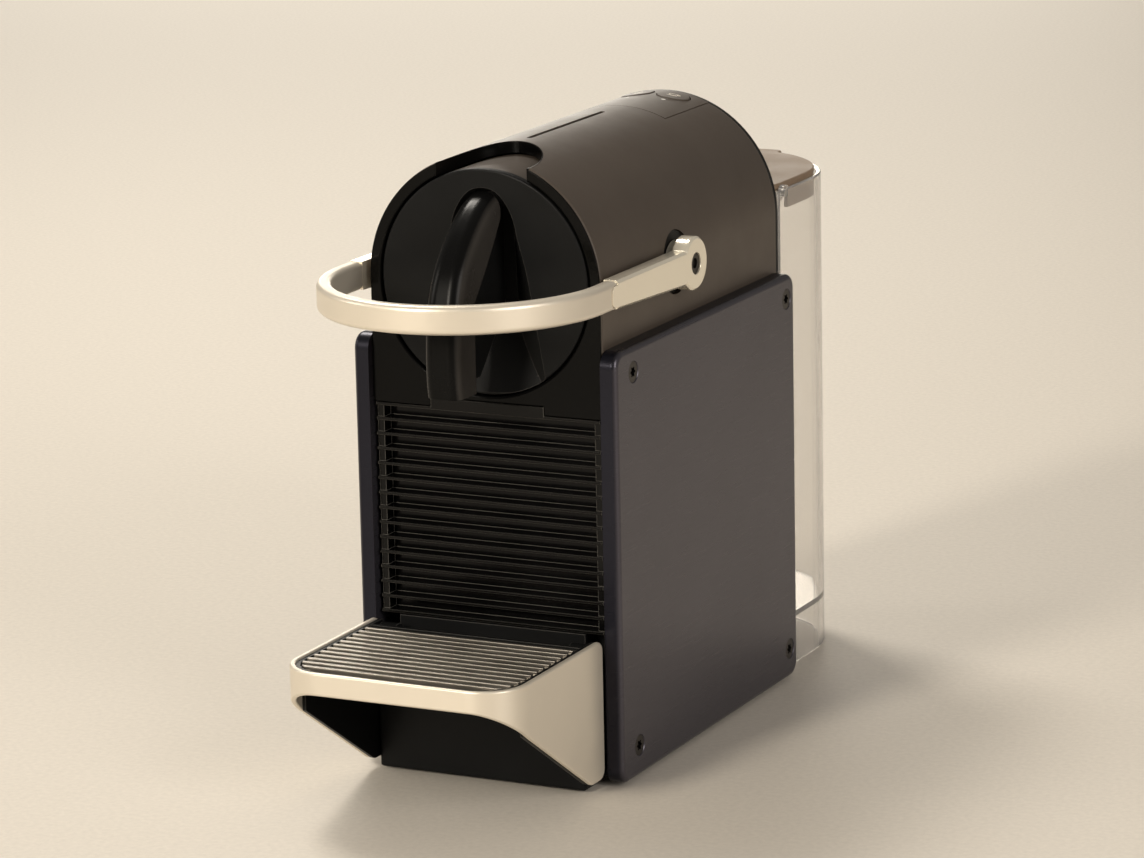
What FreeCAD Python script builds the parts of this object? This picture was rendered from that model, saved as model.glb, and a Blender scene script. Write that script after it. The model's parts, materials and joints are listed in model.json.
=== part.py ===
import FreeCAD, Part
import math
import os

os.makedirs("parts", exist_ok=True)

V = FreeCAD.Vector
ALONG_X = V(1, 0, 0)
ALONG_Y = V(0, 1, 0)
ALONG_Z = V(0, 0, 1)

# Pod coffee machine, in millimetres. It is drawn with y = 0 on the front of the hood, the user at
# -y, z = 0 on the table and x = 0 on the middle plane. On export every piece is moved along y so
# that the origin lies on the table under the middle of the whole machine.

# ---- overall ------------------------------------------------------------------------------
FRONT_Y = -83.0             # front of the cup support
REAR_Y = 243.4              # rear of the water tank
HUB_FACE_X = 55.5           # outer face of the lever hubs
CENTRE_Y = (FRONT_Y + REAR_Y) / 2
GAP = 0.4                   # normal gap between pieces that move past each other
FIT = 0.05                  # radial clearance of a shaft in its bore
SIDES = (-1, 1)
SKY_Z = 240.0               # above every piece
FAR_X = 60.0                # beyond every piece on either side

# ---- hood and front ------------------------------------------------------------------------
HOOD_R = 47.4               # outer radius of the barrel vault
HOOD_WALL = 2.4
HOOD_IN = HOOD_R - HOOD_WALL
AXIS_Z = 187.6              # common axis of the hood and the brew head
HOOD_FRONT = 0.4
BODY_REAR = 160.0
HOOD_FOOT_Z = 163.0         # lower edge of the hood, behind the side panels
GROOVE_HALF = 1.1           # shallow groove along the crest
GROOVE_DEPTH = 1.5
GROOVE_Y = (39.0, 104.0)
FRAME_FACE_Y = -0.4         # front face of the black arch frame
FRAME_BACK_Y = 2.6
FRAME_FOOT_Z = 139.6
FRAME_BORE_R = 42.7
SLOT_HALF = 18.55           # half width of the capsule slot
SLOT_STRAIGHT_Y = 2.7       # the slot's straight sides end here and its oval end starts
SLOT_END_Y = 31.7
SLOT_LINER = 0.4
SLOT_GAP = 0.05             # play of the liner in the hood

# ---- control plate -------------------------------------------------------------------------
PLATE_HALF = 19.0
PLATE_FRONT = 119.0
PLATE_DEPTH = 0.9
BUTTON_X = 7.7
BUTTON_Y = 151.6
BUTTON_R = 6.5
BUTTON_GAP = 0.4
CAP_FOOT_Z = 228.0          # underside of a button cap
CAP_PROUD = 0.35            # a cap stands this far out of the hood
LIGHT_Y = 142.2
LIGHT_R = 0.9
BOARD_TOP_Z = 219.0
BOARD_THICK = 1.6

# ---- brew head -----------------------------------------------------------------------------
DISC_R = 42.2
DISC_THICK = 3.0
HEAD_WALL = 2.4
HEAD_LENGTH = 33.0
NICHE_DEPTH = 10.0
NICHE_WALL = 1.8
NICHE_RAMP_Z = (146.6, 172.0)   # the back of the niche comes forward to the disc's face here
NOSE_HALF = 7.1
NOSE_FOOT_Z = 151.0
NOSE_WALL = 1.6
NOSE_ROUND_TOP = 6.2
NOSE_ROUND_FOOT = 4.0
SPOUT_HALF = 3.6
HEAD_TRAVEL = 30.0
DRAWBAR_X = (29.0, 32.0)
DRAWBAR_Z = (166.0, 183.0)
DRAWBAR_REAR = 89.0
RAIL_Y = (35.5, 43.0)       # the rails that guide the drawbars

# ---- lever ---------------------------------------------------------------------------------
PIVOT_Y = 66.0
PIVOT_Z = 186.3
HUB_R = 10.2
HUB_HOLE_R = 12.2           # the axle passes the hood here
AXLE_R = 7.0
SPIGOT_R = 4.2              # end of the axle, fixed in the hub
BUSH_R = 9.0
BUSH_FLANGE_R = 11.8
AXLE_END_X = 46.2           # shoulder of the axle, against the hub's neck
SPIGOT_END_X = 53.4
LEVER_SWING = 100.0         # degrees from level to fully open
CRANK_R = HEAD_TRAVEL / 2 / math.sin(math.radians(LEVER_SWING / 2))
CRANK_START = math.radians(LEVER_SWING / 2)
CRANK_PIN_R = 2.5
PIN_Y = PIVOT_Y + CRANK_R * math.sin(CRANK_START)
PIN_Z = PIVOT_Z - CRANK_R * math.cos(CRANK_START)
BOW_X = 55.2                # outer half width of the bow
BOW_THICK = 5.7
BOW_APEX_Y = -69.4
BOW_CURVE_Y = -12.0         # the elliptical front starts here
BOW_END_Y = -2.0            # the polished arms start here
BOW_Z = (181.8, 192.4)
ARM_ROOT_Z = (PIVOT_Z - 7.2, PIVOT_Z + 6.0)
TONGUE_Y = (-7.0, 0.0)      # rounded tongue of each arm, let into the outside of the bow
TONGUE_DEPTH = 1.2

# ---- chassis -------------------------------------------------------------------------------
FOOT_H = 3.0
FLOOR_TOP_Z = 6.0
WALL_X = (39.8, 42.4)       # inner and outer faces of the side frames
BULKHEAD_Y = (112.0, 114.4)
SHELF_Z = (147.0, 149.6)
SHELF_FRONT = 36.0
PANEL_X = (47.7, 54.15)
PANEL_Y = (-3.0, 162.0)
PANEL_Z = (1.6, 165.2)
SCREW_YZ = [(12.1, 13.4), (153.9, 13.4), (12.1, 155.7), (153.9, 155.7)]
SCREW_HEAD_R = 4.0
SCREW_R = 2.0

# ---- maintenance drawer --------------------------------------------------------------------
RIB_PITCH = 5.7
RIB_THICK = 1.2
BIN_TOP_Z = 139.2
BIN_FOOT_Z = 58.4
BIN_HALF = 38.2
BIN_FRONT_HALF = 46.2
TAB_HALF = 23.3
TAB_TOP_Z = 142.6
BASE_RIM_Z = 57.8
BLOCK_FRONT = -12.0
BLOCK_HALF = 43.0
BLOCK_FOOT_Z = 0.9

# ---- cup support ---------------------------------------------------------------------------
SUPPORT_HALF = 47.4
SUPPORT_TOP_Z = 57.5
SUPPORT_WALL = 2.2
SUPPORT_CORNER = 17.0
SUPPORT_REAR = -4.0
SUPPORT_FOOT_Z = 4.6
BAND_FOOT_Z = 49.7
CHEEK_BEND = (-65.4, 37.0)  # the steep corner behind the band meets the long slope of the cheek
CHEEK_TOE_Y = -14.9
SUMP_FRONT = -71.0          # the deep part of the drip tray starts here, hidden behind the band
SUMP_FOOT_Z = 46.9
HINGE_Y = -7.0
HINGE_Z = 51.5
SUPPORT_PIN_R = 1.8
HINGE_LUG_R = 4.6

# ---- water tank ----------------------------------------------------------------------------
TANK_FRONT = 162.4
TANK_WALL = 2.2
TANK_RIM_Z = 196.4
TANK_FLOOR_Z = 20.0
TANK_FOOT_Z = 1.2
TANK_VALVE_Y = 190.0
LID_HINGE_Y = 170.6
LID_HINGE_Z = 194.6
LID_TOP_Z = 198.4
HINGE_EAR_R = 3.4
LID_PIN_R = 1.5
KNUCKLE_X = (33.0, 43.6)

# ---- water circuit -------------------------------------------------------------------------
PUMP_Y = 137.0
PUMP_TUBE_R = 8.0
PISTON_R = 5.0
FLOW_X = 26.0
SOFT_TUBE_R = (2.4, 1.3)    # outer and inner radius
STIFF_TUBE_R = (2.0, 1.1)
GLAND_X = -30.0
GLAND_Z = 13.2


# ---- shape helpers -------------------------------------------------------------------------
def box(x0, x1, y0, y1, z0, z1):
    return Part.makeBox(x1 - x0, y1 - y0, z1 - z0, V(x0, y0, z0))


def rod_x(r, x0, x1, y, z):
    return Part.makeCylinder(r, x1 - x0, V(x0, y, z), ALONG_X)


def rod_y(r, y0, y1, x=0.0, z=AXIS_Z):
    return Part.makeCylinder(r, y1 - y0, V(x, y0, z), ALONG_Y)


def rod_z(r, z0, z1, x=0.0, y=0.0):
    return Part.makeCylinder(r, z1 - z0, V(x, y, z0), ALONG_Z)


def ring_y(r_out, r_in, y0, y1, x=0.0, z=AXIS_Z):
    return rod_y(r_out, y0, y1, x, z).cut(rod_y(r_in, y0 - 1, y1 + 1, x, z))


def ring_z(r_out, r_in, z0, z1, x=0.0, y=0.0):
    return rod_z(r_out, z0, z1, x, y).cut(rod_z(r_in, z0 - 1, z1 + 1, x, y))


def prism_x(points, x0, x1):
    """Prism along x on a closed outline of (y, z) points."""
    outline = Part.makePolygon([V(x0, y, z) for y, z in points + points[:1]])
    return Part.Face(outline).extrude(V(x1 - x0, 0, 0))


def fuse(shapes):
    first = shapes[0]
    return first.multiFuse(shapes[1:]).removeSplitter()


def cut(shape, tools):
    for tool in tools:
        shape = shape.cut(tool)
    return shape


def mirrored(shape):
    return shape.mirror(V(0, 0, 0), ALONG_X)


def on_side(shape, side):
    """The shape drawn at +x, or its mirror image when side is -1."""
    return shape if side > 0 else mirrored(shape)


def group(shapes):
    return Part.makeCompound(shapes)


def edges_where(shape, test):
    return [edge for edge in shape.Edges if test(edge)]


def is_along(edge, axis):
    """True for a straight edge parallel to the axis."""
    if edge.Curve.TypeId != "Part::GeomLine":
        return False
    direction = edge.Curve.Direction
    return abs(abs(direction.dot(axis)) - 1) < 1e-6


def round_along(shape, axis, radius, test=lambda edge: True):
    """Round the straight edges that run along the axis and pass the test."""
    return shape.makeFillet(radius, edges_where(shape, lambda e: is_along(e, axis) and test(e)))


def soften(shape, radius, test):
    """Round every edge that passes the test."""
    return shape.makeFillet(radius, edges_where(shape, test))


def in_plane_y(edge, y):
    bounds = edge.BoundBox
    return abs(bounds.YMin - y) < 0.01 and abs(bounds.YMax - y) < 0.01


def in_plane_z(edge, z):
    bounds = edge.BoundBox
    return abs(bounds.ZMin - z) < 0.01 and abs(bounds.ZMax - z) < 0.01


def on_arch(edge, radius, y):
    """True for an edge in the plane at y that lies on an arch about the hood's axis."""
    if not in_plane_y(edge, y):
        return False
    return all(abs(math.hypot(v.X, max(0, v.Z - AXIS_Z)) - radius) < 0.02 for v in edge.Vertexes)


def arch_wire(radius, foot_z, y, centre_z=AXIS_Z):
    """Closed outline of a round-topped arch in the plane at y."""
    left_foot = V(-radius, y, foot_z)
    left_spring = V(-radius, y, centre_z)
    crown = V(0, y, centre_z + radius)
    right_spring = V(radius, y, centre_z)
    right_foot = V(radius, y, foot_z)
    edges = [
        Part.makeLine(left_foot, left_spring),
        Part.Arc(left_spring, crown, right_spring).toShape(),
        Part.makeLine(right_spring, right_foot),
        Part.makeLine(right_foot, left_foot),
    ]
    return Part.Wire(edges)


def arch(radius, foot_z, y0, y1):
    return Part.Face(arch_wire(radius, foot_z, y0)).extrude(V(0, y1 - y0, 0))


def d_plan(half, y_front, y_centre, z0, z1):
    """D-shaped prism: flat at the front, a half circle of radius half at the rear."""
    corner_left = V(-half, y_front, z0)
    corner_right = V(half, y_front, z0)
    side_right = V(half, y_centre, z0)
    rear = V(0, y_centre + half, z0)
    side_left = V(-half, y_centre, z0)
    edges = [
        Part.makeLine(corner_left, corner_right),
        Part.makeLine(corner_right, side_right),
        Part.Arc(side_right, rear, side_left).toShape(),
        Part.makeLine(side_left, corner_left),
    ]
    return Part.Face(Part.Wire(edges)).extrude(V(0, 0, z1 - z0))


def link_x(c1, r1, c2, r2, x0, x1):
    """Flat link along x between two round ends, each centred on a (y, z) point."""
    dy, dz = c2[0] - c1[0], c2[1] - c1[1]
    heading = math.atan2(dz, dy)
    spread = math.acos((r1 - r2) / math.hypot(dy, dz))
    outline = []
    for centre, r, sign in ((c1, r1, 1), (c2, r2, 1), (c2, r2, -1), (c1, r1, -1)):
        angle = heading + sign * spread
        outline.append((centre[0] + r * math.cos(angle), centre[1] + r * math.sin(angle)))
    return fuse([prism_x(outline, x0, x1), rod_x(r1, x0, x1, *c1), rod_x(r2, x0, x1, *c2)])


def tube(points, r_out, r_in, bend):
    """Pipe through the points, its corners rounded to the bend radius."""
    corners = [V(*p) for p in points]
    edges = []
    start = corners[0]
    for before, corner, after in zip(corners, corners[1:], corners[2:]):
        back = (before - corner).normalize()
        ahead = (after - corner).normalize()
        half_turn = (math.pi - back.getAngle(ahead)) / 2
        reach = bend * math.tan(half_turn)
        arc_in = corner + back * reach
        arc_out = corner + ahead * reach
        middle_line = (back + ahead).normalize()
        arc_mid = corner + middle_line * (bend / math.cos(half_turn) - bend)
        edges.append(Part.makeLine(start, arc_in))
        edges.append(Part.Arc(arc_in, arc_mid, arc_out).toShape())
        start = arc_out
    edges.append(Part.makeLine(start, corners[-1]))
    path = Part.Wire(edges)
    heading = corners[1] - corners[0]
    solids = []
    for r in (r_out, r_in):
        profile = Part.Wire(Part.makeCircle(r, corners[0], heading))
        solids.append(path.makePipeShell([profile], True, False))
    return solids[0].cut(solids[1])


# ---- hood, front frame and slot --------------------------------------------------------------
def slot_plan(half, end_y, z0, z1):
    """Capsule slot seen from above: straight sides and a rounded end."""
    front = HOOD_FRONT - 3
    shoulder_right = V(half, SLOT_STRAIGHT_Y, z0)
    shoulder_left = V(-half, SLOT_STRAIGHT_Y, z0)
    oval = Part.Ellipse(V(0, end_y, z0), shoulder_right, V(0, SLOT_STRAIGHT_Y, z0))
    edges = [
        Part.makeLine(V(-half, front, z0), V(half, front, z0)),
        Part.makeLine(V(half, front, z0), shoulder_right),
        Part.ArcOfEllipse(oval, -math.pi / 2, math.pi / 2).toShape(),
        Part.makeLine(shoulder_left, V(-half, front, z0)),
    ]
    return Part.Face(Part.Wire(edges)).extrude(V(0, 0, z1 - z0))


def hood_slot():
    """The slot through the hood and the front frame, which takes the liner."""
    grow = SLOT_LINER + SLOT_GAP
    return slot_plan(SLOT_HALF + grow, SLOT_END_Y + grow, AXIS_Z, SKY_Z)


def button_holes(r, z0, z1):
    return [rod_z(r, z0, z1, side * BUTTON_X, BUTTON_Y) for side in SIDES]


BOARD_POSTS = [(side * 14.0, y) for side in SIDES for y in (108.0, 136.0)]


def make_hood():
    shell = arch(HOOD_R, HOOD_FOOT_Z, HOOD_FRONT, BODY_REAR)
    inside = arch(HOOD_IN, HOOD_FOOT_Z - 1, HOOD_FRONT - 1, BODY_REAR + 1)
    shell = shell.cut(inside)
    outer_slot = hood_slot()
    crest_z = AXIS_Z + HOOD_R
    groove = box(-GROOVE_HALF, GROOVE_HALF, *GROOVE_Y, crest_z - GROOVE_DEPTH, crest_z + 1)
    groove = round_along(groove, ALONG_Z, GROOVE_HALF - 0.05)
    pocket_gap = 0.45
    pocket = box(-PLATE_HALF - pocket_gap, PLATE_HALF + pocket_gap, PLATE_FRONT - pocket_gap,
                 BODY_REAR + 1, AXIS_Z, AXIS_Z + 60)
    pocket = pocket.cut(rod_y(HOOD_R - PLATE_DEPTH - 0.05, 0, BODY_REAR + 2))
    hub_holes = [rod_x(HUB_HOLE_R, side * 50 - 8, side * 50 + 8, PIVOT_Y, PIVOT_Z) for side in SIDES]
    lights = [rod_z(LIGHT_R + FIT, AXIS_Z, 240, side * BUTTON_X, LIGHT_Y) for side in SIDES]
    shell = cut(shell, [outer_slot, groove, pocket] + hub_holes + lights)
    shell = cut(shell, button_holes(BUTTON_R + BUTTON_GAP, AXIS_Z, SKY_Z))
    posts = [rod_z(2.2, BOARD_TOP_Z, AXIS_Z + HOOD_IN - 1, x, y) for x, y in BOARD_POSTS]
    vault = rod_y(HOOD_IN + 0.6, 0, BODY_REAR)
    posts = [post.common(vault) for post in posts]
    hood = fuse([shell] + posts)
    for y in (HOOD_FRONT, BODY_REAR):
        hood = soften(hood, 0.8, lambda e: on_arch(e, HOOD_R, y))
    return hood


def make_front_frame():
    plate = arch(HOOD_R - 0.4, FRAME_FOOT_Z, FRAME_FACE_Y, FRAME_BACK_Y)
    hood_rebate = arch(HOOD_R + 5, HOOD_FOOT_Z - GAP, HOOD_FRONT - 0.2, FRAME_BACK_Y + 1)
    hood_rebate = hood_rebate.cut(arch(HOOD_IN - 0.2, 0, -5, 10))
    plate = plate.cut(hood_rebate)
    lip = ring_y(HOOD_IN - 0.2, FRAME_BORE_R, FRAME_BACK_Y, 9).common(box(-FAR_X, FAR_X, 0, 10, AXIS_Z, SKY_Z))
    tab_hole = box(-TAB_HALF - 0.3, TAB_HALF + 0.3, -5, 5, FRAME_FOOT_Z - 1, TAB_TOP_Z + GAP)
    slot = hood_slot()
    frame = cut(fuse([plate, lip]), [rod_y(FRAME_BORE_R, -2, 12), tab_hole, slot])
    return soften(frame, 1.0, lambda e: on_arch(e, FRAME_BORE_R, FRAME_FACE_Y) and e.Length > 10)


def make_slot_liner():
    outer = slot_plan(SLOT_HALF + SLOT_LINER, SLOT_END_Y + SLOT_LINER, AXIS_Z, SKY_Z)
    liner = outer.cut(slot_plan(SLOT_HALF, SLOT_END_Y, AXIS_Z - 1, SKY_Z + 1))
    span = rod_y(HOOD_R - 0.1, FRAME_FACE_Y, 40).cut(rod_y(FRAME_BORE_R + 0.2, -2, 41))
    parting_line = box(-0.15, 0.15, SLOT_END_Y - 1, SLOT_END_Y + 0.2, AXIS_Z, SKY_Z + 1)
    return liner.common(span).cut(parting_line)


def make_control_plate():
    blank = box(-PLATE_HALF, PLATE_HALF, PLATE_FRONT, BODY_REAR, AXIS_Z, AXIS_Z + 60)
    skin = rod_y(HOOD_R, 0, 170).cut(rod_y(HOOD_R - PLATE_DEPTH, -1, 171))
    lights = [rod_z(LIGHT_R + FIT, AXIS_Z, 240, side * BUTTON_X, LIGHT_Y) for side in SIDES]
    return cut(blank.common(skin), button_holes(BUTTON_R + BUTTON_GAP, AXIS_Z, SKY_Z) + lights)


def make_button(side):
    x = side * BUTTON_X
    cap = rod_z(BUTTON_R, CAP_FOOT_Z, SKY_Z, x, BUTTON_Y)
    cap = cap.common(rod_y(HOOD_R + CAP_PROUD, PLATE_FRONT, BODY_REAR))
    collar = rod_z(BUTTON_R + 0.8, CAP_FOOT_Z - 0.8, CAP_FOOT_Z + 0.4, x, BUTTON_Y)
    stem = rod_z(2.0, BOARD_TOP_Z + 3.9, CAP_FOOT_Z - 0.4, x, BUTTON_Y)
    button = fuse([cap, collar, stem])
    return soften(button, 0.5, lambda e: e.BoundBox.ZMax > 234 and e.Length > 20)


def make_light_guides():
    guides = []
    for side in SIDES:
        x = side * BUTTON_X
        head = rod_z(LIGHT_R, BOARD_TOP_Z + 1.2, SKY_Z, x, LIGHT_Y)
        guides.append(head.common(rod_y(HOOD_R - 0.05, 100, 170)))
    return group(guides)


def make_control_board():
    board = box(-17.5, 17.5, 102, 158, BOARD_TOP_Z - BOARD_THICK, BOARD_TOP_Z)
    under = BOARD_TOP_Z - BOARD_THICK
    relay = box(-15, -1, 104, 124, under - 12, under)
    capacitor = rod_z(6, under - 10, under, 9, 112)
    processor = box(-6, 6, 138, 150, under - 1.6, under)
    connector = box(-14, 14, 126, 132, under - 7, under)
    lamps = [box(s * BUTTON_X - 1.2, s * BUTTON_X + 1.2, LIGHT_Y - 1, LIGHT_Y + 1, BOARD_TOP_Z,
                 BOARD_TOP_Z + 1.0) for s in SIDES]
    return fuse([board, relay, capacitor, processor, connector] + lamps)


def make_button_switches():
    switches = []
    for side in SIDES:
        x = side * BUTTON_X
        case = box(x - 3, x + 3, BUTTON_Y - 3, BUTTON_Y + 3, BOARD_TOP_Z, BOARD_TOP_Z + 1.8)
        plunger = rod_z(1.7, BOARD_TOP_Z + 1.8, BOARD_TOP_Z + 2.5, x, BUTTON_Y)
        switches.append(fuse([case, plunger]))
    return group(switches)


def make_rear_cover():
    cover = arch(HOOD_R - 0.2, FOOT_H + 3.4, BODY_REAR + 0.2, TANK_FRONT - GAP)
    slot_count = 6
    slots = []
    for i in range(slot_count):
        z = 96 + 9 * i
        slots.append(round_along(box(-26, 26, 150, 170, z, z + 3), ALONG_Y, 1.4))
    gland_hole = rod_y(5.0, 150, 170, GLAND_X, GLAND_Z)
    dock_hole = rod_y(4.4, 150, 170, 0, 12)
    return cut(cover, slots + [gland_hole, dock_hole])


# ---- chassis -------------------------------------------------------------------------------
def make_base_plate():
    plate = box(-46.6, 46.6, FRAME_BACK_Y, BODY_REAR, FOOT_H, FLOOR_TOP_Z)
    ribs = [box(-38, 38, y, y + 2, FLOOR_TOP_Z, FLOOR_TOP_Z + 2) for y in (119, 131, 143)]
    holes = [rod_z(1.7, 0, 10, x, y) for x, y in base_screw_places()]
    sinks = [rod_z(3.4, 0, FOOT_H + 1.6, x, y) for x, y in base_screw_places()]
    return cut(fuse([plate] + ribs), holes + sinks)


def base_screw_places():
    return [(side * 41.1, y) for side in SIDES for y in (26.0, 80.0, 140.0)]


def make_base_screws():
    screws = []
    for x, y in base_screw_places():
        head = rod_z(3.2, FOOT_H + 0.2, FOOT_H + 1.6, x, y)
        socket = box(x - 0.5, x + 0.5, y - 2.2, y + 2.2, FOOT_H, FOOT_H + 1.0)
        cross = box(x - 2.2, x + 2.2, y - 0.5, y + 0.5, FOOT_H, FOOT_H + 1.0)
        shank = rod_z(1.2, FOOT_H + 1.6, 13, x, y)
        screws.append(fuse([head, shank]).cut(fuse([socket, cross])))
    return group(screws)


def make_side_frames():
    front, rear = FRAME_BACK_Y + 0.2, BODY_REAR - 1
    bin_front, head_rear = 7.8, SHELF_FRONT
    chin_z, cheek_z, top_z = 143.0, 171.0, 183.0
    outline = [(bin_front, FLOOR_TOP_Z), (bin_front, chin_z), (front, chin_z), (front, cheek_z),
               (head_rear, cheek_z), (head_rear, top_z), (rear, top_z), (rear, FLOOR_TOP_Z)]
    wall = prism_x(outline, *WALL_X)
    ear = rod_x(13.0, *WALL_X, PIVOT_Y, PIVOT_Z)
    ledge = box(WALL_X[1], HOOD_R - 0.2, 10, 146, HOOD_FOOT_Z - 2.2, HOOD_FOOT_Z - 0.2)
    foot = box(WALL_X[1] - 1, 46.0, 16, 148, FLOOR_TOP_Z, FLOOR_TOP_Z + 2.4)
    bosses = [rod_x(5.0, WALL_X[1] - 1, PANEL_X[0], y, z) for y, z in SCREW_YZ]
    frame = fuse([wall, ear, ledge, foot] + bosses)
    windows = [round_along(box(30, 50, y, y + 22, 40, 110), ALONG_X, 6) for y in (22, 52, 82)]
    bores = [rod_x(SCREW_R + FIT, 30, 60, y, z) for y, z in SCREW_YZ]
    pilots = [rod_z(1.2, 0, 14, abs(x), y) for x, y in base_screw_places() if x > 0]
    frame = cut(frame, windows + bores + pilots + [rod_x(BUSH_R, 30, 60, PIVOT_Y, PIVOT_Z)])
    return group([on_side(frame, side) for side in SIDES])


def make_lever_bushes():
    flange_x = (44.9, 45.8)
    sleeve = rod_x(BUSH_R, WALL_X[0] - 0.2, flange_x[0], PIVOT_Y, PIVOT_Z)
    flange = rod_x(BUSH_FLANGE_R, *flange_x, PIVOT_Y, PIVOT_Z)
    collar = rod_x(BUSH_FLANGE_R, WALL_X[1], WALL_X[1] + 0.5, PIVOT_Y, PIVOT_Z)
    bush = fuse([sleeve, flange, collar]).cut(rod_x(AXLE_R + FIT, 30, 60, PIVOT_Y, PIVOT_Z))
    return group([on_side(bush, side) for side in SIDES])


def make_inner_frame():
    """Shelf under the brewing unit, with the wall between the drawer and the pump."""
    half = WALL_X[0] - 0.2
    wall = box(-half, half, *BULKHEAD_Y, FLOOR_TOP_Z, SHELF_Z[1])
    ribs = [box(x - 1, x + 1, BULKHEAD_Y[1], BULKHEAD_Y[1] + 4, 10, SHELF_Z[0]) for x in (-33, 33)]
    plate = box(-half, half, SHELF_FRONT, BODY_REAR - 1, *SHELF_Z)
    front_rib = box(-half, half, SHELF_FRONT, SHELF_FRONT + 2, SHELF_Z[0] - 5, SHELF_Z[1])
    return fuse([wall, plate, front_rib] + ribs).cut(rod_z(7, 140, 155, 0, PUMP_Y))


def make_guide_rails():
    rails = []
    for z0 in (DRAWBAR_Z[0] - GAP - 3, DRAWBAR_Z[1] + GAP):
        rails.append(box(27.2, WALL_X[0], *RAIL_Y, z0, z0 + 3))
    web = box(33.2, WALL_X[0], *RAIL_Y, DRAWBAR_Z[0] - GAP - 1, DRAWBAR_Z[1] + GAP + 1)
    rail = fuse(rails + [web])
    return group([on_side(rail, side) for side in SIDES])


def make_side_panel(side):
    panel = box(*PANEL_X, *PANEL_Y, *PANEL_Z)
    panel = round_along(panel, ALONG_X, 6.0)
    rim = edges_where(panel, lambda e: abs(e.BoundBox.XMin - PANEL_X[1]) < 1e-3)
    panel = panel.makeFillet(2.2, rim)
    for y, z in SCREW_YZ:
        bore = rod_x(SCREW_R + 0.2, 40, 60, y, z)
        sink = Part.makeCone(SCREW_R + 0.2, SCREW_HEAD_R + 0.25, 2.1, V(PANEL_X[1] - 2.1, y, z), ALONG_X)
        panel = cut(panel, [bore, sink])
    return on_side(panel, side)


def star_recess(x0, x1, y, z):
    """Six-lobed drive socket."""
    lobes = [rod_x(1.5, x0, x1, y, z)]
    for i in range(6):
        angle = math.radians(60 * i)
        lobes.append(rod_x(0.5, x0, x1, y + 1.6 * math.cos(angle), z + 1.6 * math.sin(angle)))
    return fuse(lobes)


def make_panel_screws():
    screws = []
    face = PANEL_X[1] - 0.25
    for y, z in SCREW_YZ:
        head = Part.makeCone(SCREW_R, SCREW_HEAD_R - 0.1, 1.9, V(face - 1.9, y, z), ALONG_X)
        shank = rod_x(SCREW_R, WALL_X[0], face - 1.9, y, z)
        screw = fuse([head, shank]).cut(star_recess(face - 1.4, face + 1, y, z))
        screws += [on_side(screw, side) for side in SIDES]
    return group(screws)


def make_rubber_feet():
    places = [(side * 36, y) for side in SIDES for y in (13, 149)] + [(side * 20, 216) for side in SIDES]
    feet = []
    for x, y in places:
        foot = Part.makeCone(5.6, 6.5, FOOT_H, V(x, y, 0), ALONG_Z)
        feet.append(foot)
    return group(feet)


# ---- lever ---------------------------------------------------------------------------------
def ellipse_curve(half_x, half_y, z):
    """Front half of an ellipse centred on the bow's springing line."""
    apex = V(0, BOW_CURVE_Y - half_y, z)
    flank = V(half_x, BOW_CURVE_Y, z)
    ellipse = Part.Ellipse(apex, flank, V(0, BOW_CURVE_Y, z))
    return Part.ArcOfEllipse(ellipse, -math.pi / 2, math.pi / 2).toShape()


def make_lever_bow():
    z = BOW_Z[0]
    inner_x = BOW_X - BOW_THICK
    reach = BOW_CURVE_Y - BOW_APEX_Y
    outer = ellipse_curve(BOW_X, reach, z)
    inner = ellipse_curve(inner_x, reach - BOW_THICK, z)
    lines = []
    for side in SIDES:
        out_low, in_low = V(side * BOW_X, BOW_CURVE_Y, z), V(side * inner_x, BOW_CURVE_Y, z)
        out_end, in_end = V(side * BOW_X, BOW_END_Y, z), V(side * inner_x, BOW_END_Y, z)
        lines += [Part.makeLine(out_low, out_end), Part.makeLine(out_end, in_end),
                  Part.makeLine(in_end, in_low)]
    edges = Part.__sortEdges__([outer, inner] + lines)
    band = Part.Face(Part.Wire(edges)).extrude(V(0, 0, BOW_Z[1] - z))
    long_edges = edges_where(band, lambda e: e.BoundBox.ZLength < 1e-6 and e.Length > 5)
    band = band.makeFillet(2.0, long_edges)
    return cut(band, [on_side(arm_tongue(0.12), side) for side in SIDES])


def arm_tongue(gap):
    """Tongue at the front of an arm, grown by the gap."""
    tongue = box(HUB_FACE_X - TONGUE_DEPTH - gap, HUB_FACE_X + gap, TONGUE_Y[0] - gap, TONGUE_Y[1],
                 BOW_Z[0] + 1.1 - gap, BOW_Z[1] - 1.5 + gap)
    return round_along(tongue, ALONG_X, 2.4, lambda e: e.BoundBox.YMax < TONGUE_Y[0] + 0.1)


def make_lever_arm(side):
    inner_x = BOW_X - BOW_THICK
    root_y = 58
    blade = prism_x([(BOW_END_Y, BOW_Z[0]), (root_y, ARM_ROOT_Z[0]), (root_y, ARM_ROOT_Z[1]),
                     (BOW_END_Y, BOW_Z[1])], inner_x, HUB_FACE_X)
    blade = blade.makeChamfer(1.0, edges_where(
        blade, lambda e: e.Length > 50 and e.BoundBox.XMin > BOW_X))
    hub = rod_x(HUB_R, inner_x, HUB_FACE_X, PIVOT_Y, PIVOT_Z)
    hub = hub.makeChamfer(0.8, edges_where(hub, lambda e: e.BoundBox.XMin > HUB_FACE_X - 0.1))
    neck = rod_x(8.4, AXLE_END_X, inner_x, PIVOT_Y, PIVOT_Z)
    arm = fuse([blade, hub, neck, arm_tongue(0)])
    arm = cut(arm, [rod_x(SPIGOT_R, 45, 60, PIVOT_Y, PIVOT_Z)])
    return on_side(arm, side)


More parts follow.
